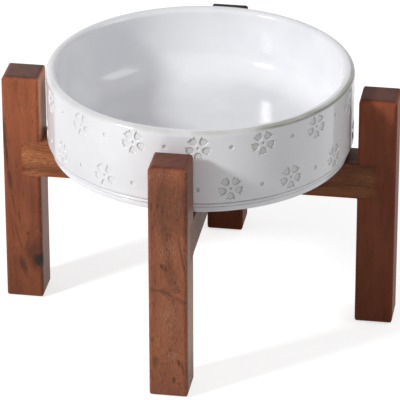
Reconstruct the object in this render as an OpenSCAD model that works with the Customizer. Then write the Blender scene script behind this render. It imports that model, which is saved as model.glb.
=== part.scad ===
// Raised pet bowl on a wooden cross stand.
// A round ceramic bowl rests on two crossbars that are halved into each other at the middle.
// Each end of a crossbar sits in a housing in a square leg, pinned there by two glued dowels.
// Frame: floor at z = 0, bowl's axis on Z, front leg towards -Y and right leg towards +X.

/* [Bowl] */
// Outside diameter of the bowl's upright wall
bowl_d = 168; // [120:1:220]
// Height of the bowl from its foot to the top of its rim
bowl_h = 48; // [36:0.5:80]
// Thickness of the wall, which ends in a full round at the rim
wall_t = 6; // [4:0.25:9]
// Thickness of the floor over the hollow inside the foot ring
floor_t = 6; // [4:0.25:9]
// Radius of the curve from the inside of the wall into the floor
well_r = 16; // [8:0.5:24]
// Radius of the lower edge of the wall
wall_ease = 1.5; // [0.5:0.25:3]

/* [Bowl foot] */
// Height of the foot ring that rests on the crossbars
foot_h = 3; // [2:0.25:6]
// Width of the foot ring, from its outside to the hollow inside it
foot_w = 8; // [5:0.5:14]
// Distance that the foot ring stands in from the wall
foot_inset = 2.5; // [1:0.25:6]
// Radius of the foot ring's lower outer edge
foot_ease = 0.75; // [0.25:0.25:1.5]
// Radius of the bead that is turned between the foot ring and the wall
bead_r = 1; // [0.5:0.25:2]
// Width of the groove on each side of the bead
groove_w = 0.5; // [0.25:0.25:1.5]
// Depth of those grooves behind the foot ring's outside
groove_depth = 0.5; // [0.25:0.25:1.5]

/* [Stand] */
// Side of the square timber that the legs and crossbars are cut from
stock = 21; // [16:0.5:30]
// Height of the legs
leg_h = 136; // [120:1:220]
// Height of the crossbars' underside above the floor
bar_z = 76.5; // [40:0.5:95]
// Gap between the bowl's wall and the inner face of each leg
bowl_gap = 4; // [2:0.5:15]
// Radius of the eased long edges of the legs
leg_ease = 2; // [0.5:0.25:3]
// Radius of the eased edges round the legs' two ends
leg_end_ease = 3; // [0.5:0.25:4]
// Radius of the crossbars' long edges, which are eased between the joints
bar_ease = 0.75; // [0.25:0.25:2]

/* [Joints] */
// Depth of the housing in a leg that takes a crossbar's end
housing_depth = 10.5; // [6:0.5:12]
// Diameter of the dowels
dowel_d = 6; // [4:0.5:8]
// Length of the dowels
dowel_l = 30; // [20:1:40]
// Distance between the two dowels of a joint
dowel_pitch = 9; // [9:0.5:12]
// Wood left between a dowel's bore and the leg's outer face
dowel_cover = 3; // [2:0.5:5]
// Chamfer on a dowel's ends
dowel_chamfer = 0.8; // [0.2:0.1:1.5]
// Room for glue around a dowel
dowel_fit = 0.05; // [0.02:0.01:0.2]
// Room for glue at each end of a dowel's bore
dowel_end_room = 0.5; // [0.2:0.1:1.5]

/* [Hidden] */
$fn = 96;
SIDES = ["right", "rear", "left", "front"];
LEVELS = ["lower", "upper"];

WOOD = "sienna";
DOWEL_WOOD = "burlywood";
GLAZE = "whitesmoke";
quarter = 90;
// Extra length that carries a cut clear of the faces it passes through
past = 1;

// Heights, upwards from the floor
bar_top = bar_z + stock;
bar_mid = bar_z + stock / 2;

// Distances from the bowl's axis
bowl_r = bowl_d / 2;
inside_r = bowl_r - wall_t;
foot_r = bowl_r - foot_inset;
leg_inner = bowl_r + bowl_gap;
leg_outer = leg_inner + stock;
bar_end = leg_inner + housing_depth;
bore_outer = leg_outer - dowel_cover;
dowel_outer = bore_outer - dowel_end_room;
dowel_inner = dowel_outer - dowel_l;
bore_inner = dowel_inner - dowel_end_room;

// Heights on the bowl, upwards from its foot
bead_z = foot_h + groove_w + bead_r;
wall_z = bead_z + bead_r + groove_w;
floor_z = foot_h + floor_t;
rim_z = bowl_h - wall_t / 2;

// A rectangle about the origin with its corners rounded
module eased_rectangle(width, height, ease) {
    square([width - 2 * ease, height], center = true);
    square([width, height - 2 * ease], center = true);
    for (x = [-1, 1], y = [-1, 1])
        translate([x * (width / 2 - ease), y * (height / 2 - ease)])
            circle(ease);
}

// A square post on the floor with its long edges and the edges round its ends eased
module eased_post(side, height, ease, end_ease) {
    intersection() {
        linear_extrude(height)
            eased_rectangle(side, side, ease);
        intersection_for (turn = [0, quarter])
            rotate([quarter, 0, turn])
                translate([0, height / 2, -side / 2])
                    linear_extrude(side)
                        eased_rectangle(side, height, end_ease);
    }
}

// Places its children at one dowel's axis on the right-hand joint, pointing outwards from the bowl's axis
module at_dowel(level) {
    translate([0, 0, bar_mid + (level - 1 / 2) * dowel_pitch])
        rotate([0, quarter, 0])
            children();
}

// The bores for both dowels of the right-hand joint
module dowel_bores() {
    for (level = [0, 1])
        at_dowel(level)
            translate([0, 0, bore_inner])
                cylinder(h = bore_outer - bore_inner, d = dowel_d + 2 * dowel_fit);
}

// The leg on the right, with the housing for the crossbar's end in its inner half
module leg() {
    difference() {
        translate([leg_inner + stock / 2, 0, 0])
            eased_post(stock, leg_h, leg_ease, leg_end_ease);
        translate([leg_inner - past, -stock / 2 - past, bar_z])
            cube([housing_depth + past, stock + 2 * past, stock]);
        dowel_bores();
    }
}

// The crossbar from left to right, square in its joints and eased between them,
// with a slot across its middle to half its depth
module crossbar(slot_from_above) {
    slot_z = slot_from_above ? bar_mid : bar_z - past;
    difference() {
        union() {
            translate([-bar_end, 0, bar_mid])
                rotate([quarter, 0, quarter])
                    linear_extrude(2 * bar_end)
                        eased_rectangle(stock, stock, bar_ease);
            translate([-stock / 2, -stock / 2, bar_z])
                cube(stock);
            for (start = [-bar_end, leg_inner])
                translate([start, -stock / 2, bar_z])
                    cube([housing_depth, stock, stock]);
        }
        translate([-stock / 2, -stock / 2 - past, slot_z])
            cube([stock, stock + 2 * past, stock / 2 + past]);
        for (turn = [0, 2 * quarter])
            rotate(turn)
                dowel_bores();
    }
}

// A dowel of the right-hand joint, with both ends chamfered
module dowel(level) {
    radius = dowel_d / 2;
    at_dowel(level)
        translate([0, 0, dowel_inner])
            rotate_extrude()
                polygon([
                    [0, 0],
                    [radius - dowel_chamfer, 0],
                    [radius, dowel_chamfer],
                    [radius, dowel_l - dowel_chamfer],
                    [radius - dowel_chamfer, dowel_l],
                    [0, dowel_l]
                ]);
}

// Half of the foot ring's outline, with its lower outer edge rounded
module foot_outline() {
    square([foot_r - foot_ease, foot_h]);
    translate([0, foot_ease])
        square([foot_r, foot_h - foot_ease]);
    translate([foot_r - foot_ease, foot_ease])
        circle(foot_ease);
}

// Half of the turned bead's outline, with the grooves above and below it
module bead_outline() {
    translate([0, foot_h])
        square([foot_r - groove_depth, wall_z - foot_h]);
    translate([foot_r + foot_inset / 2 - bead_r, bead_z])
        circle(bead_r);
}

// Half of the outline of the wall up to the rim, which is a full round
module wall_outline() {
    translate([0, wall_z])
        square([bowl_r - wall_ease, rim_z - wall_z]);
    translate([0, wall_z + wall_ease])
        square([bowl_r, rim_z - wall_z - wall_ease]);
    translate([bowl_r - wall_ease, wall_z + wall_ease])
        circle(wall_ease);
}

// Half of the outline of the space inside the bowl, open at the top
module well_outline() {
    translate([0, floor_z])
        square([inside_r - well_r, bowl_h]);
    translate([0, floor_z + well_r])
        square([inside_r, bowl_h]);
    translate([inside_r - well_r, floor_z + well_r])
        circle(well_r);
}

module bowl() {
    color(GLAZE)
        translate([0, 0, bar_top])
            rotate_extrude() {
                difference() {
                    union() {
                        foot_outline();
                        bead_outline();
                        wall_outline();
                    }
                    well_outline();
                    translate([0, -past])
                        square([foot_r - foot_w, foot_h + past]);
                }
                translate([bowl_r - wall_t / 2, rim_z])
                    circle(wall_t / 2);
            }
}

module side_leg(side) {
    color(WOOD)
        rotate(side * quarter)
            leg();
}

module left_right_crossbar() {
    color(WOOD)
        crossbar(slot_from_above = true);
}

module front_rear_crossbar() {
    color(WOOD)
        rotate(quarter)
            crossbar(slot_from_above = false);
}

module side_dowel(side, level) {
    color(DOWEL_WOOD)
        rotate(side * quarter)
            dowel(level);
}

bowl();
for (side = [0 : len(SIDES) - 1])
    side_leg(side);
left_right_crossbar();
front_rear_crossbar();
for (side = [0 : len(SIDES) - 1], level = [0 : len(LEVELS) - 1])
    side_dowel(side, level);
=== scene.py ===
# %% [markdown]
# # A raised pet bowl on a wooden cross stand
#
# A white glazed bowl stands on two crossed wooden bars, between four square legs. The wood comes ready
# made from the CAD model, so this lesson gives it a finish. The bowl is modelled again here, because a
# pattern of blossoms and dots is pressed into its wall, too fine for the CAD solid.
#
# The first cell loads the CAD model as a fixed frame. Everything is in metres, with the floor at zero
# and the bowl's axis on Z, so a new piece goes exactly where the CAD says.

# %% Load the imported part
import math

import bmesh
import bpy
from mathutils import Euler, Matrix, Quaternion, Vector


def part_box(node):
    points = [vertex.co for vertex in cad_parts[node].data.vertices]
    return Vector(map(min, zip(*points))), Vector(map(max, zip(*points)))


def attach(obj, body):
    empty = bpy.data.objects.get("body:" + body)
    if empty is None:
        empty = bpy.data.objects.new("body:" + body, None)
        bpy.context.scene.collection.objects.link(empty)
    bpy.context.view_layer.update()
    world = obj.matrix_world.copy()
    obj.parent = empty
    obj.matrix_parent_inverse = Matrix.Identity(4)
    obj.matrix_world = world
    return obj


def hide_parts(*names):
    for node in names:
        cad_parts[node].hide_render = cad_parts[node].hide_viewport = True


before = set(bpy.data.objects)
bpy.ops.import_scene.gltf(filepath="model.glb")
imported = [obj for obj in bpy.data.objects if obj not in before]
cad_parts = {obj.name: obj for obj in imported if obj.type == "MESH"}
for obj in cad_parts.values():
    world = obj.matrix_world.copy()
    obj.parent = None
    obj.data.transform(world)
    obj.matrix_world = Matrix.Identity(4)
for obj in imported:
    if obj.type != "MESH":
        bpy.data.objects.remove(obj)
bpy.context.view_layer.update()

# %% [markdown]
# ## The camera
#
# The photograph looks down into the bowl from a little to the right of the front leg, and from far
# away: parallel edges hardly close in on each other. A long lens on a distant camera gives that flat
# look. The angles come from fitting a camera to corners and edges that can be picked out in the
# photograph.

# %% Set up the camera
MM = 0.001
VIEW_AZIMUTH = math.radians(9.2)
VIEW_ELEVATION = math.radians(26.75)
VIEW_ROLL = math.radians(-0.1)
VIEW_DISTANCE = 1.87
VIEW_TARGET = Vector((-0.35, 0, 63.75)) * MM
LENS_MM = 303.7


def direction(azimuth, elevation):
    """Points from the object to a place at these angles: azimuth 0 is the front, and right is positive."""
    level = math.cos(elevation)
    return Vector((math.sin(azimuth) * level, -math.cos(azimuth) * level, math.sin(elevation)))


camera_data = bpy.data.cameras.new("photo_camera")
camera_data.lens = LENS_MM
camera = bpy.data.objects.new("photo_camera", camera_data)
towards_camera = direction(VIEW_AZIMUTH, VIEW_ELEVATION)
camera.location = VIEW_TARGET + VIEW_DISTANCE * towards_camera
camera.rotation_mode = "QUATERNION"
camera.rotation_quaternion = towards_camera.to_track_quat("Z", "Y") @ Quaternion((0, 0, 1), VIEW_ROLL)
bpy.context.scene.collection.objects.link(camera)
bpy.context.scene.camera = camera
bpy.context.scene.view_settings.view_transform = "Standard"
print("camera at", [round(value, 3) for value in camera.location])

# %% [markdown]
# ## Building node trees
#
# Every finish below is a tree of shader nodes. Adding nodes one by one takes many lines, so a few small
# helpers do it. One adds a node and fills its inputs with values or links. Others do arithmetic, turn a
# value into a straight ramp or into a soft mask from 0 to 1, and blend two colours.

# %% Helpers for node trees
MIX_A, MIX_B, MIX_RESULT = 6, 7, 2


def add_node(tree, kind, inputs=None, **settings):
    """Adds a node with these settings, and fills its inputs with values or with links."""
    made = tree.nodes.new(kind)
    for name, value in settings.items():
        setattr(made, name, value)
    for key, value in (inputs or {}).items():
        if isinstance(value, bpy.types.NodeSocket):
            tree.links.new(value, made.inputs[key])
        else:
            made.inputs[key].default_value = value
    return made


def calc(tree, operation, first, second=0.0):
    """Adds a Math node and gives its result."""
    return add_node(tree, "ShaderNodeMath", {0: first, 1: second}, operation=operation).outputs[0]


def product(tree, first, *others):
    """Multiplies values: a product of masks is full only where all of them are."""
    for other in others:
        first = calc(tree, "MULTIPLY", first, other)
    return first


def ramp(tree, value, low, high, start=0.0, end=1.0):
    """Gives low up to start and high from end on, with a straight slope between them."""
    inputs = {0: value, 1: start, 2: end, 3: low, 4: high}
    return add_node(tree, "ShaderNodeMapRange", inputs).outputs[0]


def soft_mask(tree, value, start, end):
    """Gives 0 up to start and 1 from end on, with a smooth step between; start may be the larger."""
    inputs = {0: value, 1: start, 2: end}
    return add_node(tree, "ShaderNodeMapRange", inputs, interpolation_type="SMOOTHSTEP").outputs[0]


def blend(tree, amount, first, second, kind="MIX"):
    """Adds a Mix node for colours and gives its result: amount says how much the second one counts."""
    inputs = {0: amount, MIX_A: first, MIX_B: second}
    mixed = add_node(tree, "ShaderNodeMix", inputs, data_type="RGBA", blend_type=kind)
    return mixed.outputs[MIX_RESULT]


def new_material(name):
    """Makes a material with a Principled shader, and gives the material, its tree and the shader."""
    material = bpy.data.materials.new(name)
    material.use_nodes = True
    tree = material.node_tree
    return material, tree, tree.nodes["Principled BSDF"]


def rgb(red, green, blue):
    """A colour as the nodes want it, with full opacity."""
    return (red, green, blue, 1.0)


print("node helpers ready")

# %% [markdown]
# ## The floor and the light
#
# The floor is a plain pale sheet, wide enough to fill the background. It lies a hair below the feet,
# because two surfaces in the same place would flicker. It takes the light as a matt surface does, so it
# keeps the soft shadow of the stand. To the camera, and in reflections, it also glows, which lifts it
# to the white of the photograph without throwing more light on the object.

# %% Make the floor
FLOOR_RADIUS = 4.0
FLOOR_SIDES = 96
FLOOR_DROP = 0.02 * MM
FLOOR_SHADE = rgb(0.65, 0.65, 0.65)
FLOOR_GLOW = 0.7


def seen_directly(tree):
    """Gives 1 for rays from the camera, mirrors and glass, and 0 for the rays that light a surface."""
    paths = add_node(tree, "ShaderNodeLightPath").outputs
    seen = calc(tree, "MAXIMUM", paths["Is Camera Ray"], paths["Is Glossy Ray"])
    return calc(tree, "MAXIMUM", seen, paths["Is Transmission Ray"])


floor_shape = bmesh.new()
below = Matrix.Translation((0, 0, -FLOOR_DROP))
bmesh.ops.create_circle(
    floor_shape, cap_ends=True, segments=FLOOR_SIDES, radius=FLOOR_RADIUS, matrix=below
)
floor_mesh = bpy.data.meshes.new("studio_floor")
floor_shape.to_mesh(floor_mesh)
floor_shape.free()
floor = bpy.data.objects.new("studio_floor", floor_mesh)
bpy.context.scene.collection.objects.link(floor)

floor_finish, tree, shader = new_material("studio_floor")
shader.inputs["Base Color"].default_value = FLOOR_SHADE
shader.inputs["Roughness"].default_value = 1.0
shader.inputs["Specular IOR Level"].default_value = 0.0
shader.inputs["Emission Color"].default_value = rgb(1.0, 1.0, 1.0)
glow = product(tree, seen_directly(tree), FLOOR_GLOW)
tree.links.new(glow, shader.inputs["Emission Strength"])
floor_mesh.materials.append(floor_finish)
print("floor radius in metres:", FLOOR_RADIUS)

# %% [markdown]
# The white studio around the object is the world. Its light on the object is gentle and even, while the
# camera and mirror rays see it as plain white, so the glaze has something white to reflect.

# %% Light the studio all round
STUDIO_LEVEL = 0.3

world = bpy.data.worlds.new("white_studio")
bpy.context.scene.world = world
world.use_nodes = True
tree = world.node_tree
level = ramp(tree, seen_directly(tree), STUDIO_LEVEL, 1.0)
tree.links.new(level, tree.nodes["Background"].inputs["Strength"])
tree.nodes["Background"].inputs["Color"].default_value = rgb(1.0, 1.0, 1.0)
print("studio level:", STUDIO_LEVEL)

# %% [markdown]
# The highlights inside the bowl show where the lamps stood. Followed back from the camera, they lead to
# a strong lamp on the left, and to a weaker and wider one on the right. The front leg's shadow on the
# bowl's wall agrees with the first. Both are soft boxes, which Blender calls area lamps.

# %% Hang the lamps
LAMP_DISTANCE = 1.6


def soft_box(name, azimuth, elevation, size, watts):
    """Hangs a square lamp at these angles, in degrees, and turns it to face the bowl."""
    lamp = bpy.data.lights.new(name, "AREA")
    lamp.size = size
    lamp.energy = watts
    holder = bpy.data.objects.new(name, lamp)
    away = direction(math.radians(azimuth), math.radians(elevation))
    holder.location = VIEW_TARGET + LAMP_DISTANCE * away
    holder.rotation_mode = "QUATERNION"
    holder.rotation_quaternion = away.to_track_quat("Z", "Y")
    bpy.context.scene.collection.objects.link(holder)
    print(name, "watts:", watts)


soft_box("key_lamp", azimuth=-48, elevation=30, size=0.2, watts=16.6)
soft_box("fill_lamp", azimuth=88, elevation=35, size=0.7, watts=4.6)

# %% [markdown]
# ## The bowl's outline
#
# A bowl like this is turned or slip cast, so its plain parts are round: a lathe shape. One half of its
# section is drawn as a chain of edges on a plane through the axis, and spun through a full turn. The
# chain grows from its last vertex, the tip: straight lines extrude it, and rounded corners spin it
# about the corner's centre.

# %% Draw with a tip that moves
QUARTER = math.pi / 2
SMALL_ARC_STEPS = 4
bowl_low, bowl_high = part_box("bowl")
FOOT_Z = bowl_low.z
WALL_R = bowl_high.x
BOWL_H = bowl_high.z - bowl_low.z


def line_to(outline, tip, radius, height):
    """Extrudes the tip straight to a new radius, and height above the bowl's foot."""
    tip = bmesh.ops.extrude_vert_indiv(outline, verts=[tip])["verts"][0]
    tip.co = (radius, 0, FOOT_Z + height)
    return tip


def arc_about(outline, tip, radius, height, turn, steps=SMALL_ARC_STEPS):
    """Spins the tip about a centre on the section's plane: a positive turn goes clockwise."""
    swung = bmesh.ops.spin(
        outline,
        geom=[tip],
        cent=(radius, 0, FOOT_Z + height),
        axis=(0, 1, 0),
        angle=turn,
        steps=steps,
    )
    return next(part for part in swung["geom_last"] if isinstance(part, bmesh.types.BMVert))


print("bowl stands at", round(FOOT_Z / MM, 2), "mm and is", round(2 * WALL_R / MM, 2), "mm across")

# %% [markdown]
# The lower outline starts on the axis, under the bowl's floor. It runs out to the foot ring, round a
# turned bead between two grooves, and round the wall's lower edge to the start of the pressed band.

# %% Draw the foot and the lower wall
FOOT_H = 3 * MM
FOOT_W = 8 * MM
FOOT_INSET = 2.5 * MM
FOOT_R = WALL_R - FOOT_INSET
FOOT_EASE = 0.75 * MM
GLAZE_EASE = 0.35 * MM
HOLLOW_EASE = 1.5 * MM
GROOVE_DEPTH = 0.5 * MM
GROOVE_R = FOOT_R - GROOVE_DEPTH
BEAD_R = 1 * MM
BEAD_MIDDLE_R = FOOT_R + FOOT_INSET / 2 - BEAD_R
BEAD_STEPS = 12
BEAD_H = 4.5 * MM
WALL_H = 6 * MM
WALL_EASE = 1.5 * MM
BAND_LOW = WALL_H + WALL_EASE

bead_reach = math.acos((GROOVE_R - BEAD_MIDDLE_R) / BEAD_R)
bead_rise = BEAD_R * math.sin(bead_reach)
hollow_r = FOOT_R - FOOT_W

lathe = bmesh.new()
tip = lathe.verts.new((0, 0, FOOT_Z + FOOT_H))
tip = line_to(lathe, tip, hollow_r - HOLLOW_EASE, FOOT_H)
tip = arc_about(lathe, tip, hollow_r - HOLLOW_EASE, FOOT_H - HOLLOW_EASE, QUARTER)
tip = line_to(lathe, tip, hollow_r, FOOT_EASE)
tip = arc_about(lathe, tip, hollow_r + FOOT_EASE, FOOT_EASE, -QUARTER)
tip = line_to(lathe, tip, FOOT_R - FOOT_EASE, 0)
tip = arc_about(lathe, tip, FOOT_R - FOOT_EASE, FOOT_EASE, -QUARTER)
tip = line_to(lathe, tip, FOOT_R, FOOT_H - GLAZE_EASE)
tip = arc_about(lathe, tip, FOOT_R - GLAZE_EASE, FOOT_H - GLAZE_EASE, -QUARTER)
tip = line_to(lathe, tip, GROOVE_R, FOOT_H)
tip = line_to(lathe, tip, GROOVE_R, BEAD_H - bead_rise)
tip = arc_about(lathe, tip, BEAD_MIDDLE_R, BEAD_H, -2 * bead_reach, BEAD_STEPS)
tip = line_to(lathe, tip, GROOVE_R, WALL_H)
tip = line_to(lathe, tip, WALL_R - WALL_EASE, WALL_H)
tip = arc_about(lathe, tip, WALL_R - WALL_EASE, BAND_LOW, -QUARTER)
print("lower outline has", len(lathe.verts), "points")

# %% [markdown]
# The upper outline starts where the pressed band ends. The rim is a full round, as wide as the wall is
# thick, and the band rolls a little way up it, because the highest petals reach that far. A generous
# curve joins the inside of the wall to the floor. The outline ends on the axis, so the floor closes
# there.

# %% Draw the rim and the inside
WALL_T = 6 * MM
FLOOR_H = 9 * MM
WELL_R = 16 * MM
RIM_STEPS = 20
ROLL_STEPS = 4
WELL_STEPS = 16
rim_r = WALL_R - WALL_T / 2
rim_h = BOWL_H - WALL_T / 2
inside_r = WALL_R - WALL_T
rim_step = 2 * QUARTER / RIM_STEPS
roll_turn = ROLL_STEPS * rim_step
roll_h = rim_h + roll_turn * WALL_T / 2


def rolled(height, depth=0.0):
    """Gives the radius and height of a point on the band, which rolls over the rim's round at its top."""
    turn = max(height - rim_h, 0) / (WALL_T / 2)
    round_r = WALL_T / 2 - depth
    return rim_r + round_r * math.cos(turn), min(height, rim_h) + round_r * math.sin(turn)


rim_start_r, rim_start_h = rolled(roll_h)
tip = lathe.verts.new((rim_start_r, 0, FOOT_Z + rim_start_h))
tip = arc_about(lathe, tip, rim_r, rim_h, roll_turn - 2 * QUARTER, RIM_STEPS - ROLL_STEPS)
tip = line_to(lathe, tip, inside_r, FLOOR_H + WELL_R)
tip = arc_about(lathe, tip, inside_r - WELL_R, FLOOR_H + WELL_R, QUARTER, WELL_STEPS)
tip = line_to(lathe, tip, 0, FLOOR_H)
print("both outlines have", len(lathe.verts), "points")

# %% Spin the outlines into the plain parts of the bowl
LATHE_STEPS = 360

outline_parts = lathe.verts[:] + lathe.edges[:]
bmesh.ops.spin(
    lathe,
    geom=outline_parts,
    cent=(0, 0, 0),
    axis=(0, 0, 1),
    angle=2 * math.pi,
    steps=LATHE_STEPS,
    use_merge=True,
)
print("plain parts have", len(lathe.faces), "faces")

# %% [markdown]
# ## The pressed band
#
# Two rows of blossoms and dots are pressed into the wall. They alternate along each row, and the rows
# are staggered. A stamp that is rolled round soft clay would be made flat first, and so is this: one
# repeat of the pattern is cut as a flat sheet, bent to the wall's curve, and copied round.
#
# A petal is a pocket with a round heel near the blossom's middle and three teeth at its outer end. The
# heel is a vertex spun through half a turn and stretched, and the teeth are a few more points on the
# chain.

# %% Draw one petal
PETAL_MIDDLE = 5.2 * MM
PETAL_HALF = 2.35 * MM
HEEL_STRETCH = 1.3
HEEL_STEPS = 14
TOOTH_TIP = Vector((2.75, 0, -7.05)) * MM
TOOTH_NOTCH = Vector((1.25, 0, -6.3)) * MM
TOOTH_MIDDLE = Vector((0, 0, -7.05)) * MM
MIRRORED = Vector((-1, 1, 1))


def press_petal(sheet, across, height):
    """Draws a petal that hangs straight down from a blossom's middle, and fills it with a face."""
    middle = Vector((across, 0, height))
    heel_centre = middle - Vector((0, 0, PETAL_MIDDLE))
    older = set(sheet.verts)
    first = sheet.verts.new(heel_centre + Vector((PETAL_HALF, 0, 0)))
    heel = bmesh.ops.spin(
        sheet, geom=[first], cent=heel_centre, axis=(0, 1, 0), angle=-2 * QUARTER, steps=HEEL_STEPS
    )
    tip = next(part for part in heel["geom_last"] if isinstance(part, bmesh.types.BMVert))
    heel_points = [vert for vert in sheet.verts if vert not in older]
    stretch = Vector((1, 1, HEEL_STRETCH))
    bmesh.ops.scale(sheet, vec=stretch, space=Matrix.Translation(-heel_centre), verts=heel_points)
    for place in (TOOTH_TIP * MIRRORED, TOOTH_NOTCH * MIRRORED, TOOTH_MIDDLE, TOOTH_NOTCH, TOOTH_TIP):
        tip = bmesh.ops.extrude_vert_indiv(sheet, verts=[tip])["verts"][0]
        tip.co = middle + place
    bmesh.ops.contextual_create(sheet, geom=[tip, first])
    ring = {edge for vert in sheet.verts if vert not in older for edge in vert.link_edges}
    return bmesh.ops.contextual_create(sheet, geom=list(ring))["faces"][0]


trial = bmesh.new()
trial_petal = press_petal(trial, 0, 0)
petal_area = trial_petal.calc_area() / MM**2
print("a petal has", len(trial_petal.verts), "points and covers", round(petal_area, 1), "mm2")
trial.free()

# %% [markdown]
# A blossom is that petal, copied round its middle, with a small round eye. The copies come from a spin
# that duplicates: it turns the petal step by step and leaves a copy at each stop.

# %% Draw blossoms and dots
PETALS = 5
EYE_R = 1.0 * MM
DOT_R = 1.4 * MM
DOT_SIDES = 16
STAND_UP = Matrix.Rotation(QUARTER, 4, "X")


def press_dot(sheet, across, height, radius):
    """Draws a filled circle on the upright sheet."""
    place = Matrix.Translation((across, 0, height)) @ STAND_UP
    bmesh.ops.create_circle(sheet, cap_ends=True, segments=DOT_SIDES, radius=radius, matrix=place)


def press_blossom(sheet, across, height):
    """Draws a blossom of five petals round an eye, with one petal straight down."""
    petal = press_petal(sheet, across, height)
    bmesh.ops.spin(
        sheet,
        geom=petal.verts[:] + petal.edges[:] + [petal],
        cent=(across, 0, height),
        axis=(0, 1, 0),
        angle=2 * math.pi * (PETALS - 1) / PETALS,
        steps=PETALS - 1,
        use_duplicate=True,
    )
    press_dot(sheet, across, height, EYE_R)


print("a blossom has", PETALS, "petals")

# %% [markdown]
# One repeat of the pattern holds a blossom over a dot, and beside them a dot over a blossom. Its width
# is the wall's girth shared out evenly, and a whole number of the lathe's steps.

# %% Lay out one repeat
REPEATS = 15
REPEAT_STEPS = LATHE_STEPS // REPEATS
REPEAT_W = 2 * math.pi * WALL_R / REPEATS
SIDE_STEP = REPEAT_W / 4
UPPER_ROW = FOOT_Z + 38.5 * MM
LOWER_ROW = FOOT_Z + 14.6 * MM
UPPER_SHIFT = 0.5 * MM

band = bmesh.new()
press_blossom(band, UPPER_SHIFT - SIDE_STEP, UPPER_ROW)
press_dot(band, -SIDE_STEP, LOWER_ROW, DOT_R)
press_blossom(band, SIDE_STEP, LOWER_ROW)
press_dot(band, UPPER_SHIFT + SIDE_STEP, UPPER_ROW, DOT_R)
pressed = band.faces[:]
print("pressed shapes in one repeat:", len(pressed))

# %% [markdown]
# The clay between the shapes is a sheet with holes. Its border is a rectangle, and a triangle fill
# closes the area between the border and the shapes. Then each shape sinks: an inset makes a ring inside
# it and moves the middle back, and several small insets in a row round the edge off, as thick glaze
# does.

# %% Cut the sheet and sink the shapes
PRESS_DEPTH = 0.55 * MM
PRESS_EDGE = 0.5 * MM
PRESS_RINGS = 5

band_h = roll_h - BAND_LOW
sheet_middle = FOOT_Z + BAND_LOW + band_h / 2
sheet_size = Matrix.Diagonal((REPEAT_W / 2, band_h / 2, 1, 1))
upright = Matrix.Translation((0, 0, sheet_middle)) @ STAND_UP @ sheet_size
border = bmesh.ops.create_grid(band, x_segments=1, y_segments=1, size=1, matrix=upright)
border_face = border["verts"][0].link_faces[0]
bmesh.ops.delete(band, geom=[border_face], context="FACES_ONLY")
bmesh.ops.triangle_fill(band, edges=band.edges[:], use_beauty=True, normal=(0, -1, 0))
band.normal_update()
bmesh.ops.reverse_faces(band, faces=[face for face in band.faces if face.normal.y > 0])
covered = sum(face.calc_area() for face in band.faces)
print("sheet covered:", round(covered / (REPEAT_W * band_h), 4))

for ring in range(PRESS_RINGS):
    before = math.cos(math.pi * ring / PRESS_RINGS)
    after = math.cos(math.pi * (ring + 1) / PRESS_RINGS)
    bmesh.ops.inset_region(
        band,
        faces=pressed,
        thickness=PRESS_EDGE / PRESS_RINGS,
        depth=-PRESS_DEPTH * (before - after) / 2,
        use_boundary=True,
        use_even_offset=True,
    )
deepest = max(vert.co.y for vert in band.verts)
print("pressed to", round(deepest / MM, 3), "mm")

# %% [markdown]
# Glaze that runs into a petal gathers along the foot of its edge and leaves the middle of the petal
# pale. One more inset, level this time, marks that middle off, so that the finish can tell the two
# apart. A dot is too small for that, so the whole of its floor counts as partly pale.

# %% Mark off the pale middles
HEART_EDGE = 0.35 * MM
DOT_HEART = 0.62

petals = [face for face in pressed if len(face.verts) > DOT_SIDES]
bmesh.ops.inset_region(
    band, faces=petals, thickness=HEART_EDGE, use_boundary=True, use_even_offset=True
)
heart = band.verts.layers.float.new("glaze_heart")
for face in pressed:
    for vert in face.verts:
        vert[heart] = 1.0 if face in petals else DOT_HEART
print("petals with a pale middle:", len(petals))

# %% [markdown]
# A flat sheet can't bend between its corners, so it is first cut into upright strips, as wide as one
# step of the lathe, and its top into level strips where it rolls over the rim. Then every point moves
# to the wall's curve: its place across the sheet becomes an angle, and its depth is taken off the
# radius. The depth is also kept as an attribute, because glaze runs into the hollows and the finish
# needs to know where they are.

# %% Bend the sheet and copy it round
CUT_GAP = MM / 500


def cut_sheet(place, normal):
    """Cuts every face of the sheet along a plane."""
    everything = band.verts[:] + band.edges[:] + band.faces[:]
    bmesh.ops.bisect_plane(band, geom=everything, dist=CUT_GAP, plane_co=place, plane_no=normal)


for cut in range(1, REPEAT_STEPS):
    cut_sheet((REPEAT_W * (cut / REPEAT_STEPS - 1 / 2), 0, 0), (1, 0, 0))
for cut in range(ROLL_STEPS):
    cut_sheet((0, 0, FOOT_Z + rim_h + cut * rim_step * WALL_T / 2), (0, 0, 1))
pool = band.verts.layers.float.new("glaze_pool")
for vert in band.verts:
    vert[pool] = vert.co.y / PRESS_DEPTH
    angle = vert.co.x / WALL_R
    radius, height = rolled(vert.co.z - FOOT_Z, vert.co.y)
    vert.co = (radius * math.sin(angle), -radius * math.cos(angle), FOOT_Z + height)
bmesh.ops.spin(
    band,
    geom=band.verts[:] + band.edges[:] + band.faces[:],
    cent=(0, 0, 0),
    axis=(0, 0, 1),
    angle=2 * math.pi * (REPEATS - 1) / REPEATS,
    steps=REPEATS - 1,
    use_duplicate=True,
)
print("band has", len(band.faces), "faces")

# %% [markdown]
# The band and the spun parts now meet point for point, so merging doubles joins them into one closed
# skin, and closes the poles on the axis too. After that the normals are recalculated, because a spin
# can leave faces inside out. The pattern turns a little, so that a blossom faces the way it does in the
# photograph.

# %% Join the bowl
PATTERN_TURN = math.radians(7.95)
JOIN_GAP = MM / 200
CUBIC_CM = (10 * MM) ** 3

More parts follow.
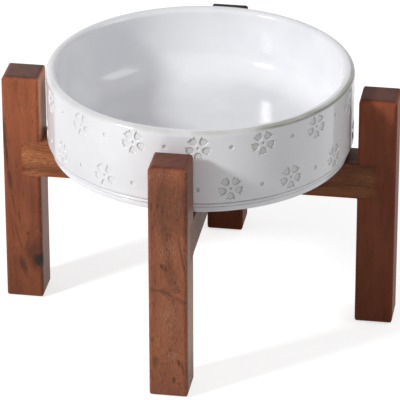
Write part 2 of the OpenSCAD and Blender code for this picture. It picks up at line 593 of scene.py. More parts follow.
band_mesh = bpy.data.meshes.new("pressed_band")
band.to_mesh(band_mesh)
band.free()
lathe.verts.layers.float.new("glaze_heart")
lathe.verts.layers.float.new("glaze_pool")
lathe.from_mesh(band_mesh)
bpy.data.meshes.remove(band_mesh)
bmesh.ops.remove_doubles(lathe, verts=lathe.verts[:], dist=JOIN_GAP)
bmesh.ops.recalc_face_normals(lathe, faces=lathe.faces[:])
# The upper blossom is a quarter of a repeat to the left of the sheet's middle
blossom_turn = Matrix.Rotation(PATTERN_TURN + math.pi / REPEATS / 2, 3, "Z")
bmesh.ops.rotate(lathe, cent=(0, 0, 0), matrix=blossom_turn, verts=lathe.verts[:])
open_edges = sum(len(edge.link_faces) != 2 for edge in lathe.edges)
print("bowl has", len(lathe.faces), "faces and", open_edges, "open edges")
print("clay in the bowl:", round(lathe.calc_volume() / CUBIC_CM, 1), "cm3")

# %% [markdown]
# The finished mesh becomes an object that takes the CAD bowl's place and rides on its body. The faces
# under the foot get a second material, for the bare clay. A modifier lets the larger faces count for
# more in the smooth shading, so the wall stays even between the blossoms.

# %% Make the bowl an object
CLAY_EDGE = 0.3 * MM

lathe.normal_update()
for face in lathe.faces:
    face.smooth = True
    face.material_index = int(face.calc_center_median().z < FOOT_Z + CLAY_EDGE)
bowl_mesh = bpy.data.meshes.new("glazed_bowl")
lathe.to_mesh(bowl_mesh)
lathe.free()
bowl = bpy.data.objects.new("glazed_bowl", bowl_mesh)
bpy.context.scene.collection.objects.link(bowl)
even_wall = bowl.modifiers.new("even_wall", "WEIGHTED_NORMAL")
even_wall.mode = "FACE_AREA"
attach(bowl, "bowl")
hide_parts("bowl")
print("bowl triangles:", sum(len(face.vertices) - 2 for face in bowl_mesh.polygons))

# %% [markdown]
# ## The glaze
#
# The glaze is a thick glossy white, a little cool and faintly clouded. Where it runs into the pressed
# hollows it gathers and looks olive grey. That tint is painted weaker on the lit left and stronger on
# the shaded right, and this ramp is painted shade. The hollows come from the attributes that were kept
# above, and left and right from the place on the bowl.

# %% Mix the white and fill the hollows
GLAZE_WHITE = rgb(0.89, 0.893, 0.918)
GLAZE_SHADE = rgb(0.825, 0.829, 0.86)
GLAZE_POOLED = rgb(0.42, 0.42, 0.39)
GLAZE_FLOOR = rgb(0.72, 0.72, 0.72)
CLOUDS_PER_METRE = 35.0
CLOUD_EDGES = (0.35, 0.75)
HEART_EDGES = (0.1, 0.9)
POOL_EDGES = (0.2, 0.9)
POOLED_LIT_LEFT = 0.16
POOLED_SHADED_RIGHT = 0.82


def noise(tree, place, per_metre, detail):
    """Adds a noise with about this many features to the metre, and gives its value."""
    inputs = {"Vector": place, "Scale": per_metre, "Detail": detail}
    return add_node(tree, "ShaderNodeTexNoise", inputs).outputs["Fac"]


glaze, tree, shader = new_material("white_glaze")
place = add_node(tree, "ShaderNodeTexCoord").outputs["Object"]
along_x, along_y, along_z = add_node(tree, "ShaderNodeSeparateXYZ", {0: place}).outputs
cloud = noise(tree, place, CLOUDS_PER_METRE, detail=3.0)
white = blend(tree, soft_mask(tree, cloud, *CLOUD_EDGES), GLAZE_WHITE, GLAZE_SHADE)

pooled = add_node(tree, "ShaderNodeAttribute", attribute_name="glaze_pool").outputs["Fac"]
on_floor = add_node(tree, "ShaderNodeAttribute", attribute_name="glaze_heart").outputs["Fac"]
hollow_tint = blend(tree, soft_mask(tree, on_floor, *HEART_EDGES), GLAZE_POOLED, GLAZE_FLOOR)
# The tint in the hollows is glaze pooling; its ramp from the lit left to the shaded right is painted
# shade.
pooled_and_shaded = ramp(tree, along_x, POOLED_LIT_LEFT, POOLED_SHADED_RIGHT, start=-WALL_R / 2, end=0.0)
pooled_and_shaded = product(tree, soft_mask(tree, pooled, *POOL_EDGES), pooled_and_shaded)
glazed = blend(tree, pooled_and_shaded, white, hollow_tint)
# The printed amounts include painted shade: the tint is weakest where the key lamp lights the wall.
print("glaze gathers from", POOLED_LIT_LEFT, "on the left to", POOLED_SHADED_RIGHT, "on the right")

# %% [markdown]
# The glaze thins over the outer edge of the rim, and the clay shows through as a soft olive line. Painted
# shade makes it weaker on the lit left and stronger on the shaded right, where a fine dark line of
# painted shade runs along its lower side. The distance to the axis and the height tell where the rim is.

# %% Thin the glaze over the rim
GLAZE_THIN = rgb(0.40, 0.40, 0.31)
PAINTED_SHADE_LINE = rgb(0.16, 0.16, 0.12)
THIN_STARTS = 0.5 * MM
THIN_FULL = 1.0 * MM
THIN_FADES = 2.2 * MM
THIN_LIT_LEFT = 0.2
THIN_REACH = {"start": -0.6 * WALL_R, "end": 0.4 * WALL_R}
THIN_PATCHES = (0.2, 0.6)
THIN_STRENGTH = 0.8
LINE_LOW = 0.2 * MM
LINE_MIDDLE = 1.7 * MM
LINE_HIGH = 2.4 * MM
LINE_REACH = (0.45 * WALL_R, 0.65 * WALL_R)
LINE_STRENGTH = 0.75
RIM_Z = FOOT_Z + rim_h

squares = [calc(tree, "POWER", side, 2.0) for side in (along_x, along_y)]
from_axis = calc(tree, "SQRT", calc(tree, "ADD", *squares))
outside = soft_mask(tree, from_axis, rim_r + THIN_STARTS, rim_r + THIN_FULL)
on_rim = soft_mask(tree, along_z, RIM_Z, RIM_Z + THIN_FADES)
# Painted shade: the olive line is weak on the lit left and full on the shaded right.
thin_and_shaded = ramp(tree, along_x, THIN_LIT_LEFT, 1.0, **THIN_REACH)
patchy = soft_mask(tree, cloud, *THIN_PATCHES)
glazed = blend(tree, product(tree, outside, on_rim, thin_and_shaded, patchy, THIN_STRENGTH), glazed, GLAZE_THIN)

# Painted shade: a fine dark line along the rim's lower turn, on the shaded right only.
line_top = soft_mask(tree, along_z, RIM_Z + LINE_HIGH, RIM_Z + LINE_MIDDLE)
line_foot = soft_mask(tree, along_z, RIM_Z + LINE_LOW, RIM_Z + LINE_MIDDLE)
on_right = soft_mask(tree, along_x, *LINE_REACH)
line = product(tree, line_top, line_foot, outside, on_right, LINE_STRENGTH)
glazed = blend(tree, line, glazed, PAINTED_SHADE_LINE)
print("olive line starts", round(THIN_STARTS / MM, 2), "mm outside the crest of the rim")

# %% [markdown]
# The wall is darker on its left and right than in the middle of the front, and that darkening is
# painted shade on the glaze's colour. Last come a faint ripple in the skin and a gloss that follows the
# clouds.

# %% Paint shade on the wall's sides and add the gloss
PAINTED_WALL_SHADE = rgb(0.86, 0.86, 0.86)
WALL_SHADE_LEFT_STARTS = (-0.3 * WALL_R, -0.75 * WALL_R)
WALL_SHADE_LEFT_ENDS = (-0.94 * WALL_R, -0.87 * WALL_R)
WALL_SHADE_RIGHT_STARTS = (0.25 * WALL_R, 0.55 * WALL_R)
WALL_SHADE_RIGHT_ENDS = (0.92 * WALL_R, 0.8 * WALL_R)
WALL_SHADE_RIGHT_STRENGTH = 0.6
RIPPLES_PER_METRE = 60.0
RIPPLE = {"Strength": 0.1, "Distance": 0.1 * MM}
GLAZE_ROUGHNESS = (0.09, 0.15)

# Painted shade: the outside of the wall darkens towards its left and right edges.
left_side = [soft_mask(tree, along_x, *edges) for edges in (WALL_SHADE_LEFT_STARTS, WALL_SHADE_LEFT_ENDS)]
right_side = [soft_mask(tree, along_x, *edges) for edges in (WALL_SHADE_RIGHT_STARTS, WALL_SHADE_RIGHT_ENDS)]
wall_shade = calc(tree, "MAXIMUM", product(tree, *left_side), product(tree, *right_side, WALL_SHADE_RIGHT_STRENGTH))
glazed = blend(tree, product(tree, wall_shade, outside), glazed, PAINTED_WALL_SHADE, "MULTIPLY")
tree.links.new(glazed, shader.inputs["Base Color"])

ripple = noise(tree, place, RIPPLES_PER_METRE, detail=2.0)
skin = add_node(tree, "ShaderNodeBump", {"Height": ripple, **RIPPLE})
tree.links.new(skin.outputs[0], shader.inputs["Normal"])
tree.links.new(ramp(tree, cloud, *GLAZE_ROUGHNESS), shader.inputs["Roughness"])
bowl_mesh.materials.append(glaze)
print("glaze nodes:", len(tree.nodes))

# %% [markdown]
# The bowl stands on bare clay: a glazed foot would stick to the kiln's shelf, so the potter wipes it
# clean. The clay is a matt sandy body with fine grit.

# %% Leave the foot in bare clay
CLAY_LIGHT = rgb(0.62, 0.52, 0.41)
CLAY_DARK = rgb(0.44, 0.35, 0.26)
GRIT_PER_METRE = 900.0
SMUDGES_PER_METRE = 60.0
GRIT_SHARE = 0.5
CLAY_EDGES = (0.35, 0.65)
CLAY_ROUGHNESS = (0.8, 0.95)
CLAY_TOOTH = {"Strength": 0.4, "Distance": 0.1 * MM}

clay, tree, shader = new_material("bare_clay")
place = add_node(tree, "ShaderNodeTexCoord").outputs["Object"]
grit = noise(tree, place, GRIT_PER_METRE, detail=4.0)
smudge = noise(tree, place, SMUDGES_PER_METRE, detail=3.0)
mixed = calc(tree, "ADD", product(tree, grit, GRIT_SHARE), product(tree, smudge, 1.0 - GRIT_SHARE))
sandy = blend(tree, soft_mask(tree, mixed, *CLAY_EDGES), CLAY_DARK, CLAY_LIGHT)
tree.links.new(sandy, shader.inputs["Base Color"])
tree.links.new(ramp(tree, smudge, *CLAY_ROUGHNESS), shader.inputs["Roughness"])
tooth = add_node(tree, "ShaderNodeBump", {"Height": grit, **CLAY_TOOTH})
tree.links.new(tooth.outputs[0], shader.inputs["Normal"])
bowl_mesh.materials.append(clay)
print("clay nodes:", len(tree.nodes))

# %% [markdown]
# ## The wood
#
# The legs and bars are sawn from a reddish hardwood with open pores. A picture of wood wrapped on each
# face would break at the corners, so the figure is solid, as in a real tree: growth bands stand round a
# pith that runs along the timber, the fibres sway, and pores are long thin cells. Cut along the grain
# they show as soft bands and short dashes, and across it as arcs and dots. One group of nodes holds
# this tree, and each timber is cut from its own place in it.

# %% Helpers for patterns that run along the grain
def new_group(name, inputs, outputs):
    """Starts a node group with these sockets, and gives its tree, its inputs and its outputs."""
    tree = bpy.data.node_groups.new(name, "ShaderNodeTree")
    for socket, kind in inputs.items():
        tree.interface.new_socket(socket, in_out="INPUT", socket_type=kind)
    for socket in outputs:
        tree.interface.new_socket(socket, in_out="OUTPUT", socket_type="NodeSocketFloat")
    return tree, add_node(tree, "NodeGroupInput").outputs, add_node(tree, "NodeGroupOutput").inputs


def vector_calc(tree, operation, first, second=(0.0, 0.0, 0.0)):
    """Adds a Vector Math node and gives its result."""
    inputs = {0: first, 1: second}
    return add_node(tree, "ShaderNodeVectorMath", inputs, operation=operation).outputs[0]


def stretched(tree, place, fineness):
    """Scales a place by its fineness across the grain and along it: a small one draws a pattern out."""
    across, along = fineness
    return vector_calc(tree, "MULTIPLY", place, (across, across, along))


def noise_at(tree, place, fineness, detail=3.0, roughness=0.55, output="Fac"):
    """Adds a noise of this fineness across the grain and along it, and gives its value."""
    inputs = {"Vector": stretched(tree, place, fineness), "Scale": 1.0}
    inputs.update({"Detail": detail, "Roughness": roughness})
    return add_node(tree, "ShaderNodeTexNoise", inputs).outputs[output]


def cells_at(tree, place, fineness, size):
    """Scatters cells of this fineness, drawn out along the grain, and gives 1 in the middle of each."""
    inputs = {"Vector": stretched(tree, place, fineness), "Scale": 1.0}
    cells = add_node(tree, "ShaderNodeTexVoronoi", inputs)
    return soft_mask(tree, cells.outputs["Distance"], *size)


print("helpers for the grain are ready")

# %% [markdown]
# Inside the group, places are counted in millimetres. Every pattern has two finenesses, across the
# grain and along it, and the second is the smaller one, which draws the pattern out. The whole tree
# sways slowly, and the pores and specks stand in crowds, so no two timbers look alike.

# %% Grow the tree in a node group
MM_PER_METRE = 1000.0
MID_GREY = 0.5
SWAY = (0.03, 0.011)
SWAY_REACH = 12.0
RINGS = (1.0, 0.06)
RING_WAVE = {"Scale": 0.055, "Distortion": 3.0, "Detail": 2.0, "Detail Scale": 0.3}
RING_EDGES = (0.3, 1.0)
FIBRES = (1.5, 0.05)
PORES = (0.75, 0.16)
PORE_SIZE = (0.24, 0.10)
PORE_CROWDS = (0.14, 0.05)
PORE_CROWD_EDGES = (0.44, 0.62)
SPECKS = (0.8, 0.45)
SPECK_SIZE = (0.20, 0.08)
SPECK_CROWDS = (0.10, 0.045)
SPECK_CROWD_EDGES = (0.5, 0.66)
CLOUDS = (0.085, 0.02)
FUZZ = (2.2, 0.45)
FUZZ_PATCHES = (0.10, 0.05)
FUZZ_PATCH_EDGES = (0.4, 0.6)
FUZZ_LEAST = 0.35

sockets = {"Place": "NodeSocketVector", "Push": "NodeSocketFloat"}
results = ["Bands", "Fibre", "Pores", "Specks", "Cloud", "Tooth"]
timber_figure, source, result = new_group("timber_figure", sockets, results)
tree = timber_figure
place = vector_calc(tree, "MULTIPLY", source["Place"], (MM_PER_METRE,) * 3)
sway = noise_at(tree, place, SWAY, detail=2.0, output="Color")
sway = vector_calc(tree, "SUBTRACT", sway, (MID_GREY,) * 3)
sway = stretched(tree, sway, (SWAY_REACH, 0.0))
push = add_node(tree, "ShaderNodeCombineXYZ", {0: source["Push"]}).outputs[0]
grown = vector_calc(tree, "ADD", vector_calc(tree, "ADD", place, sway), push)

inputs = {"Vector": stretched(tree, grown, RINGS), **RING_WAVE}
rings = add_node(tree, "ShaderNodeTexWave", inputs, wave_type="RINGS", rings_direction="Z")
tree.links.new(soft_mask(tree, rings.outputs["Fac"], *RING_EDGES), result["Bands"])
tree.links.new(noise_at(tree, grown, FIBRES, detail=4.0, roughness=0.65), result["Fibre"])
crowds = soft_mask(tree, noise_at(tree, place, PORE_CROWDS), *PORE_CROWD_EDGES)
tree.links.new(product(tree, cells_at(tree, grown, PORES, PORE_SIZE), crowds), result["Pores"])
crowds = soft_mask(tree, noise_at(tree, grown, SPECK_CROWDS), *SPECK_CROWD_EDGES)
tree.links.new(product(tree, cells_at(tree, grown, SPECKS, SPECK_SIZE), crowds), result["Specks"])
tree.links.new(noise_at(tree, grown, CLOUDS), result["Cloud"])
fuzz = calc(tree, "SUBTRACT", noise_at(tree, grown, FUZZ, detail=4.0, roughness=0.75), MID_GREY)
patches = ramp(tree, noise_at(tree, place, FUZZ_PATCHES), FUZZ_LEAST, 1.0, *FUZZ_PATCH_EDGES)
tree.links.new(product(tree, fuzz, patches), result["Tooth"])
print("timber_figure nodes:", len(tree.nodes))

# %% [markdown]
# A knot or a mineral streak is one dark patch in one timber. Both are soft ellipsoids with a ragged
# edge: a knot is nearly round, and a streak is drawn out and may lean. The group gives a mask, which
# darkens the colour, and the same mask made wider pushes the bands aside, so the grain flows round a
# knot.

# %% Make a group for knots and streaks
RAGS_PER_METRE = (380.0, 130.0)
DARK_EDGES = (1.15, 0.3)
PUSH_EDGES = (2.6, 0.3)

sockets = {"Place": "NodeSocketVector", "Middle": "NodeSocketVector", "Reach": "NodeSocketVector"}
sockets["Lean"] = "NodeSocketFloat"
timber_mark, source, result = new_group("timber_mark", sockets, ["Dark", "Push"])
tree = timber_mark
offset = vector_calc(tree, "SUBTRACT", source["Place"], source["Middle"])
inputs = {"Vector": offset, "Angle": source["Lean"]}
offset = add_node(tree, "ShaderNodeVectorRotate", inputs, rotation_type="Y_AXIS").outputs[0]
offset = vector_calc(tree, "DIVIDE", offset, source["Reach"])
away = add_node(tree, "ShaderNodeVectorMath", {0: offset}, operation="LENGTH").outputs["Value"]
ragged = calc(tree, "SUBTRACT", noise_at(tree, source["Place"], RAGS_PER_METRE), MID_GREY)
away = calc(tree, "ADD", away, ragged)
tree.links.new(soft_mask(tree, away, *DARK_EDGES), result["Dark"])
tree.links.new(soft_mask(tree, away, *PUSH_EDGES), result["Push"])
print("timber_mark nodes:", len(tree.nodes))

# %% [markdown]
# Hands and paws rub a timber at its edges first, so the oil is thin and pale there in patches, and
# redder along the rest of the edge. On a square timber the edge is easy to find: of the three distances
# from a point to the faces, the smallest is nothing on the surface, and the next one is how far away
# the nearest edge is.

# %% Make a group that finds the edges
sockets = {"Offset": "NodeSocketVector", "Half": "NodeSocketVector"}
timber_edge, source, result = new_group("timber_edge", sockets, ["Distance"])
tree = timber_edge
depth = vector_calc(tree, "SUBTRACT", source["Half"], vector_calc(tree, "ABSOLUTE", source["Offset"]))
depth = add_node(tree, "ShaderNodeSeparateXYZ", {0: depth}).outputs
shallow = calc(tree, "MINIMUM", depth[0], depth[1])
deep = calc(tree, "MAXIMUM", depth[0], depth[1])
second = calc(tree, "MAXIMUM", shallow, calc(tree, "MINIMUM", deep, depth[2]))
tree.links.new(second, result["Distance"])
print("timber_edge nodes:", len(tree.nodes))

# %% [markdown]
# A finish for one timber puts the groups together. It turns the tree's grain along the timber's length,
# gathers the timber's own marks and finds its worn edges.

# %% Cut a timber from the tree
AXIS = {"x": 0, "y": 1, "z": 2}
ALONG_Z = {"x": Euler((0, -QUARTER, 0)), "y": Euler((QUARTER, 0, 0)), "z": Euler((0, 0, 0))}
MARK_DEPTH = 5.0
KNOT_PUSH = 5.0
EDGE_W = 2.6 * MM
WORN_EDGE = 1.9 * MM
SHARP_EDGE = 0.5 * MM
RUBS_PER_METRE = (420.0, 420.0)
RUB_EDGES = (0.5, 0.68)


def gather_marks(tree, place, name, marks):
    """Adds marks on a timber's front face, and gives their strength and how far they push the bands."""
    low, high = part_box(name)
    strongest = 0.0
    push = 0.0
    for across, height, half_width, half_length, lean, strength in marks:
        spot = Vector(((low.x + high.x) / 2 + across * MM, low.y, height * MM))
        reach = Vector((half_width, MARK_DEPTH, half_length)) * MM
        inputs = {"Place": place, "Middle": spot, "Reach": reach, "Lean": math.radians(lean)}
        mark = add_node(tree, "ShaderNodeGroup", inputs, node_tree=timber_mark).outputs
        strongest = calc(tree, "MAXIMUM", strongest, product(tree, mark["Dark"], strength))
        push = calc(tree, "ADD", push, product(tree, mark["Push"], KNOT_PUSH * strength))
    return strongest, push


def cut_timber(tree, place, name, along, pith, push):
    """Places a timber in the tree, with the pith this far from its own middle, and gives its figure."""
    low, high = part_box(name)
    turn = ALONG_Z[along]
    cut_from = Vector(pith) * MM - turn.to_matrix() @ (low + high) / 2
    inputs = {"Vector": place, "Location": cut_from, "Rotation": turn}
    in_tree = add_node(tree, "ShaderNodeMapping", inputs).outputs[0]
    inputs = {"Place": in_tree, "Push": push}
    return add_node(tree, "ShaderNodeGroup", inputs, node_tree=timber_figure).outputs


def find_edges(tree, place, name):
    """Gives 1 along the timber's edges, and 1 where they are rubbed pale."""
    low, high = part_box(name)
    offset = vector_calc(tree, "SUBTRACT", place, (low + high) / 2)
    inputs = {"Offset": offset, "Half": (high - low) / 2}
    edge = add_node(tree, "ShaderNodeGroup", inputs, node_tree=timber_edge).outputs["Distance"]
    rubbed = soft_mask(tree, noise_at(tree, place, RUBS_PER_METRE, detail=4.0), *RUB_EDGES)
    worn = product(tree, soft_mask(tree, edge, WORN_EDGE, SHARP_EDGE), rubbed)
    return soft_mask(tree, edge, EDGE_W, SHARP_EDGE), worn


print("edges are worn over", round(WORN_EDGE / MM, 1), "mm")

# %% [markdown]
# A timber has another tone on each of its faces. Painted shade may darken it from one end to the other,
# where the lamps and the floor light it less. Its right-hand side may carry painted light of its own, a
# painted sheen on some timbers and painted shade on others, changing near the two ends. Its end grain
# drinks more oil and comes out darker and greyer. The direction of the surface tells the faces apart.

# %% Paint light and shade on the faces of a timber, and tint its end grain
PLAIN = rgb(1.0, 1.0, 1.0)
FACING = (0.6, 0.95)
SIDE_LOW_END = (0.03, 0.22)
SIDE_HIGH_END = (0.83, 0.44)


def paint_light_and_tint_faces(tree, place, name, along, colour, painted_falloff, painted_side_light, painted_side_ends, end_tint):
    """Paints shade along a timber and light on its right-hand side, and tints its end grain."""
    low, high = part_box(name)
    axis = AXIS[along]
    length = high[axis] - low[axis]
    run = add_node(tree, "ShaderNodeSeparateXYZ", {0: place}).outputs[axis]
    # Painted shade from one end of the timber to the other.
    shade = ramp(tree, run, *painted_falloff, start=low[axis], end=high[axis])
    colour = blend(tree, 1.0, colour, shade, "MULTIPLY")
    if painted_side_ends:
        for end, limits in zip(painted_side_ends, (SIDE_LOW_END, SIDE_HIGH_END)):
            beyond = soft_mask(tree, run, *(low[axis] + part * length for part in limits))
            painted_side_light = blend(tree, beyond, end, painted_side_light)
    facing = add_node(tree, "ShaderNodeNewGeometry").outputs["Normal"]
    facing = add_node(tree, "ShaderNodeSeparateXYZ", {0: facing}).outputs
    # Painted light on the right-hand side: a pale sheen on some timbers and shade on others.
    right_side = soft_mask(tree, facing[AXIS["x"]], *FACING)
    colour = blend(tree, right_side, colour, painted_side_light, "MULTIPLY")
    end_grain = soft_mask(tree, calc(tree, "ABSOLUTE", facing[axis]), *FACING)
    return blend(tree, end_grain, colour, end_tint, "MULTIPLY")


print("right-hand sides change over", SIDE_LOW_END, "and", SIDE_HIGH_END, "of the length")

# %% [markdown]
# The colours come on top of one another. The base runs between a light and a dark tone of the same
# wood. Marks and pores are nearly black. Specks and worn edges are pale, and so are rubs, which are
# placed like marks but show only where the fibres stand up rough. The sheen is weak: most of the oil
# has soaked in.

# %% A finish for one timber
END_TINT = rgb(0.41, 0.52, 0.80)
EDGE_TINT = rgb(0.92, 0.74, 0.66)
PORE = rgb(0.030, 0.013, 0.009)
KNOT = rgb(0.026, 0.012, 0.009)
PALE = rgb(0.46, 0.27, 0.17)
OIL_SHINE = 0.15
RING_DEPTH = 0.22
FIBRE_DEPTH = 0.45
FIBRE_EDGES = (0.45, 0.7)
WOOD_CLOUD_EDGES = (0.38, 0.7)
TOOTH_SPAN = 0.2
SPECK_DEPTH = 0.45
PORE_DEPTH = 0.65
FUZZ_EDGES = (-0.03, 0.12)
WOOD_ROUGHNESS = (0.40, 0.58)
OPEN_ROUGHNESS = 0.15
FIBRE_HEIGHT = 0.4
WOOD_BUMP = {"Strength": 0.3, "Distance": 0.15 * MM}


def oil_timber(
    name,
    along,
    pith,
    light,
    dark,
    marks=(),
    rubs=(),
    shine=OIL_SHINE,
    end_tint=END_TINT,
    painted_falloff=(1.0, 1.0),
    painted_side_light=PLAIN,
    painted_side_ends=None,
    grain=1.0,
    cloudy=0.75,
    tooth=0.15,
    wear=0.2,
):
    """Gives a CAD timber an oiled finish.

    Its long axis is along, and its tones are light and dark. The last four say how strongly its grain,
    clouds, rough fibres and worn edges show.
    """
    finish, tree, shader = new_material("oiled_" + name)
    place = add_node(tree, "ShaderNodeTexCoord").outputs["Object"]
    darkness, push = gather_marks(tree, place, name, marks)
    figure = cut_timber(tree, place, name, along, pith, push)
    edge, worn = find_edges(tree, place, name)
    open_grain = min(grain, 1.0)

    bands = product(tree, figure["Bands"], RING_DEPTH * grain)
    fibre = product(tree, soft_mask(tree, figure["Fibre"], *FIBRE_EDGES), FIBRE_DEPTH * grain)
    cloud = product(tree, soft_mask(tree, figure["Cloud"], *WOOD_CLOUD_EDGES), cloudy)
    depth = calc(tree, "ADD", calc(tree, "ADD", bands, fibre), cloud)
    colour = blend(tree, depth, light, dark)
    nap = ramp(tree, figure["Tooth"], 1.0 - tooth, 1.0 + tooth, -TOOTH_SPAN, TOOTH_SPAN)
    colour = blend(tree, 1.0, colour, nap, "MULTIPLY")
    colour = blend(tree, edge, colour, EDGE_TINT, "MULTIPLY")
    colour = blend(tree, product(tree, figure["Specks"], SPECK_DEPTH * open_grain), colour, PALE)
    if rubs:
        rubbed = gather_marks(tree, place, name, rubs)[0]
        fuzzy = soft_mask(tree, figure["Tooth"], *FUZZ_EDGES)
        colour = blend(tree, product(tree, rubbed, fuzzy), colour, PALE)
    colour = blend(tree, product(tree, figure["Pores"], PORE_DEPTH * open_grain), colour, PORE)
    colour = blend(tree, darkness, colour, KNOT)
    colour = blend(tree, product(tree, worn, wear), colour, PALE)
    # Here the faces get painted shade along the timber and painted light on the right-hand side.
    colour = paint_light_and_tint_faces(tree, place, name, along, colour, painted_falloff, painted_side_light, painted_side_ends, end_tint)
    tree.links.new(colour, shader.inputs["Base Color"])

    bare = product(tree, calc(tree, "MAXIMUM", figure["Pores"], worn), OPEN_ROUGHNESS)
    rough = calc(tree, "ADD", ramp(tree, figure["Fibre"], *WOOD_ROUGHNESS), bare)
    tree.links.new(rough, shader.inputs["Roughness"])
    height = calc(tree, "SUBTRACT", product(tree, figure["Fibre"], FIBRE_HEIGHT), figure["Pores"])
    bump = add_node(tree, "ShaderNodeBump", {"Height": height, **WOOD_BUMP})
    tree.links.new(bump.outputs[0], shader.inputs["Normal"])
    shader.inputs["Specular IOR Level"].default_value = shine
    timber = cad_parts[name]
    timber.data.materials.clear()
    timber.data.materials.append(finish)
    print(name, "finish nodes:", len(tree.nodes))


print("pores darken by", PORE_DEPTH, "and specks lighten by", SPECK_DEPTH)

# %% [markdown]
# The left leg has the most character: a black knot low on its right edge with a stain above it, a dark
# streak beside the knot, another down its left edge, and a few fine lines. A mark is given by its place
# on the leg's front face, across from the middle and up from the floor, half its width and half its
# length, all in millimetres, then its lean to the right in degrees, and its strength. Painted shade
# darkens its lower end. Its right-hand side, turned to the bowl, is painted pale with light thrown back
# from the bowl's wall and a grey sheen, most of all near the top.

# %% Oil the left leg
oil_timber(
    "left_leg",
    "z",
    pith=(26, 31, 400),
    light=rgb(0.34, 0.098, 0.040),
    dark=rgb(0.165, 0.045, 0.021),
    shine=0.25,
    # Painted shade towards the foot, and painted light and sheen on the right-hand side.
    painted_falloff=(0.70, 1.08),
    painted_side_light=rgb(1.5, 2.2, 3.0),
    painted_side_ends=(rgb(0.9, 1.28, 1.6), rgb(1.9, 3.5, 5.0)),
    grain=0.8,
    cloudy=0.5,
    tooth=0.25,
    marks=[
        (9.0, 24.5, 6.2, 6.4, 0, 1.0),
        (6.0, 30.0, 7.0, 9.0, 0, 0.5),
        (-0.6, 21.0, 2.4, 7.5, 18, 0.6),
        (-2.5, 22.0, 4.5, 9.0, 10, 0.3),
        (-9.6, 100.0, 1.8, 14.0, 3, 0.75),
        (-8.3, 88.0, 1.1, 12.0, 4, 0.75),
        (-7.0, 74.0, 1.2, 10.0, 5, 0.6),
        (-5.4, 60.0, 0.5, 9.0, 9, 0.5),
        (-2.2, 51.4, 0.6, 5.0, 7, 0.6),
        (-6.4, 44.0, 0.5, 15.0, 7, 0.45),
        (-3.5, 40.0, 0.5, 12.0, 15, 0.45),
        (-1.1, 121.5, 0.6, 10.0, 11, 0.3),
        (2.8, 40.5, 0.9, 0.9, 0, 0.7),
    ],
)

# %% [markdown]
# The front leg is handled the most. Rubs have raised its fibres in pale patches, a soft stain with fine
# dark lines in it sits near the top, and a shallow scar bends across its middle. Its right-hand side has
# a painted pale sheen between two ends in painted shade, and painted shade darkens its foot a little.

# %% Oil the front leg
oil_timber(
    "front_leg",
    "z",
    pith=(-22, 34, 1100),
    light=rgb(0.34, 0.120, 0.058),
    dark=rgb(0.175, 0.058, 0.032),
    shine=0.22,
    end_tint=rgb(0.5, 0.42, 0.45),
    # Painted sheen on the right-hand side with painted shade at its ends, and painted shade at the foot.
    painted_side_light=rgb(1.14, 1.78, 2.26),
    painted_side_ends=(rgb(0.54, 0.58, 0.55), rgb(0.50, 0.52, 0.48)),
    painted_falloff=(0.90, 1.0),
    cloudy=0.5,
    tooth=0.5,
    wear=0.4,
    rubs=[
        (-8.8, 130.0, 1.6, 5.0, 0, 0.8),
        (-1.0, 132.0, 6.0, 1.8, 0, 0.7),
        (6.5, 113.5, 1.2, 5.0, 0, 0.7),
        (-1.0, 89.0, 4.5, 7.0, 0, 0.6),
        (0.5, 49.0, 6.0, 15.0, 0, 0.6),
        (3.0, 25.0, 5.0, 4.0, 0, 0.5),
    ],
    marks=[
        (0.0, 112.0, 14.0, 22.0, 0, 0.42),
        (4.0, 112.0, 5.0, 6.0, 0, 0.3),
        (-8.5, 113.0, 0.6, 5.0, 0, 0.65),
        (-5.2, 114.0, 0.55, 4.5, 0, 0.6),
        (-2.5, 112.0, 0.6, 6.5, 4, 0.7),
        (0.0, 109.0, 0.6, 5.5, 4, 0.6),
        (7.8, 84.0, 0.8, 14.0, 10, 0.45),
        (-3.2, 78.6, 0.7, 1.8, 25, 0.65),
        (-1.0, 77.2, 0.6, 1.8, 25, 0.6),
        (1.6, 75.0, 0.6, 1.8, 25, 0.55),
        (-5.8, 64.2, 1.5, 6.0, 84, 0.35),
        (0.8, 62.6, 1.5, 6.0, 68, 0.35),
        (7.0, 59.0, 1.5, 6.0, 55, 0.35),
        (-8.5, 34.5, 1.6, 2.4, 0, 0.4),
        (-6.8, 21.5, 2.2, 5.0, 8, 0.4),
        (7.8, 18.0, 0.9, 5.0, 8, 0.7),
        (5.6, 21.5, 1.0, 3.0, 10, 0.7),
        (3.2, 11.0, 1.3, 2.4, 0, 0.65),
    ],
)

# %% [markdown]
# The right and rear legs are darkened with painted shade: the right leg towards its foot and on its
# right-hand side, and the rear leg, which stands behind the bowl, all over and most of all on its top.
# The bars come from a lighter board. The bar that crosses from side to side is lighter at its left end and
# darker at its right end with painted light and shade, and its left end is rubbed along its edges. The
# other bar's right-hand side is a painted grey sheen.

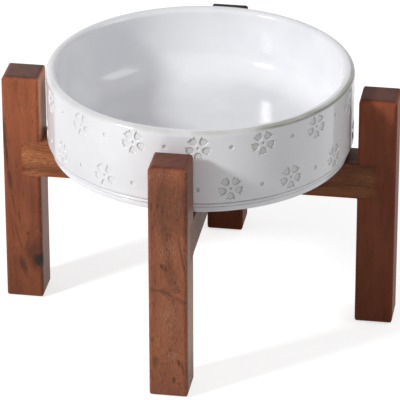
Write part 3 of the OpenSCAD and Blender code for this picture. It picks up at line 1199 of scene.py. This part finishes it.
# %% Oil the other legs and the bars
oil_timber(
    "right_leg",
    "z",
    pith=(30, -38, 1900),
    light=rgb(0.31, 0.093, 0.047),
    dark=rgb(0.19, 0.056, 0.029),
    shine=0.08,
    # Painted shade towards the foot and on the right-hand side.
    painted_falloff=(0.60, 1.02),
    painted_side_light=rgb(0.8, 0.8, 0.8),
    grain=0.4,
    tooth=0.1,
    wear=0.05,
)
# Painted shade: the rear leg's dark tones and its dark end tint stand for the shade behind the bowl.
oil_timber(
    "rear_leg",
    "z",
    pith=(-33, -27, 2600),
    light=rgb(0.155, 0.042, 0.021),
    dark=rgb(0.085, 0.023, 0.013),
    shine=0.04,
    end_tint=rgb(0.26, 0.85, 1.6),
    wear=0.05,
)
oil_timber(
    "left_right_crossbar",
    "x",
    pith=(18, 40, 3300),
    light=rgb(0.38, 0.14, 0.056),
    dark=rgb(0.18, 0.058, 0.026),
    # Painted light and shade: lighter at the left end, towards the key lamp, and darker at the right end.
    painted_falloff=(1.15, 0.62),
    grain=1.6,
    tooth=0.5,
    rubs=[
        (-91.0, 96.8, 7.5, 1.0, 0, 1.0),
        (-97.4, 90.0, 1.2, 4.5, 0, 0.8),
        (-89.0, 90.5, 8.0, 0.9, 2, 0.7),
        (-86.0, 85.5, 8.0, 0.8, -3, 0.6),
        (-92.0, 79.0, 6.0, 0.9, 0, 0.6),
    ],
)
oil_timber(
    "front_rear_crossbar",
    "y",
    pith=(-28, 30, 4100),
    light=rgb(0.25, 0.095, 0.05),
    dark=rgb(0.13, 0.05, 0.03),
    shine=0.1,
    # Painted sheen: the right-hand side is tinted greyer.
    painted_side_light=rgb(0.74, 0.86, 0.93),
)

# %% [markdown]
# The dowels sit inside the joints and are seen only when the stand is taken apart. They are turned from
# a pale hardwood and left bare, so they use the same tree with pale colours.

# %% Leave the dowels bare
DOWEL_AXIS = {"right": "x", "left": "x", "front": "y", "rear": "y"}

for name in sorted(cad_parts):
    if name.endswith("_dowel"):
        side = name.split("_")[0]
        oil_timber(
            name,
            DOWEL_AXIS[side],
            pith=(9, 14, 5200),
            light=rgb(0.58, 0.41, 0.22),
            dark=rgb(0.42, 0.27, 0.13),
        )
